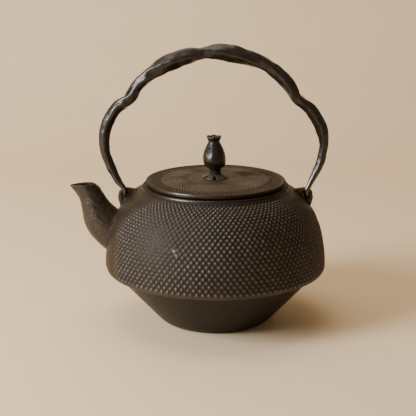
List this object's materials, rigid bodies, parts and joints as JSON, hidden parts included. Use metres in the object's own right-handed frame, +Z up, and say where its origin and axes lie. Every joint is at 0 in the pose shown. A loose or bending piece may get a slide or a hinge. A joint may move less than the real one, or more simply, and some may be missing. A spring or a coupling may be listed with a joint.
{
  "type": "cast iron kettle",
  "caption": "Squat cast iron kettle with a pebbled dome over a plain cone base, short spout, flat lid with bud-shaped knob and a twisted overhead swing handle.",
  "frame": {"origin": "centre of the flat base, on the plane it rests on", "axes": "+Z up; the spout points to -X; the handle arches over the lid in the XZ plane and swings about X"},
  "size_m": [0.2238, 0.1926, 0.2414],
  "materials": {
    "cast_iron_body": "matt to satin dark brown-black cast iron",
    "cast_iron_lid": "matt dark brown cast iron",
    "forged_iron": "satin near-black lacquered forged iron",
    "knob_metal": "satin near-black patinated casting",
    "pin_steel": "dull steel"
  },
  "bodies": {
    "kettle": {"kettle_body": "cast_iron_body"},
    "handle": {"handle": "forged_iron"},
    "petal_washer": {"knob_seat": "knob_metal"},
    "lid": {"lid": "cast_iron_lid"},
    "knob": {"knob": "knob_metal", "knob_pin": "pin_steel", "pin_washer": "pin_steel"}
  },
  "joints": [
    {"name": "handle_swing", "type": "hinge", "parent": "kettle", "child": "handle", "pos_m": [0, 0, 0.1158], "axis": [1, 0, 0], "range_deg": [-110, 70]},
    {"name": "lid_lift", "type": "slide", "parent": "kettle", "child": "petal_washer", "axis": [0, 0, 1], "range_m": [0, 0.055]},
    {"name": "lid_turn", "type": "hinge", "parent": "petal_washer", "child": "lid", "pos_m": [0, 0, 0.1265], "axis": [0, 0, 1], "continuous": true},
    {"name": "knob_turn", "type": "hinge", "parent": "petal_washer", "child": "knob", "pos_m": [0, 0, 0.1299], "axis": [0, 0, 1], "continuous": true}
  ]
}
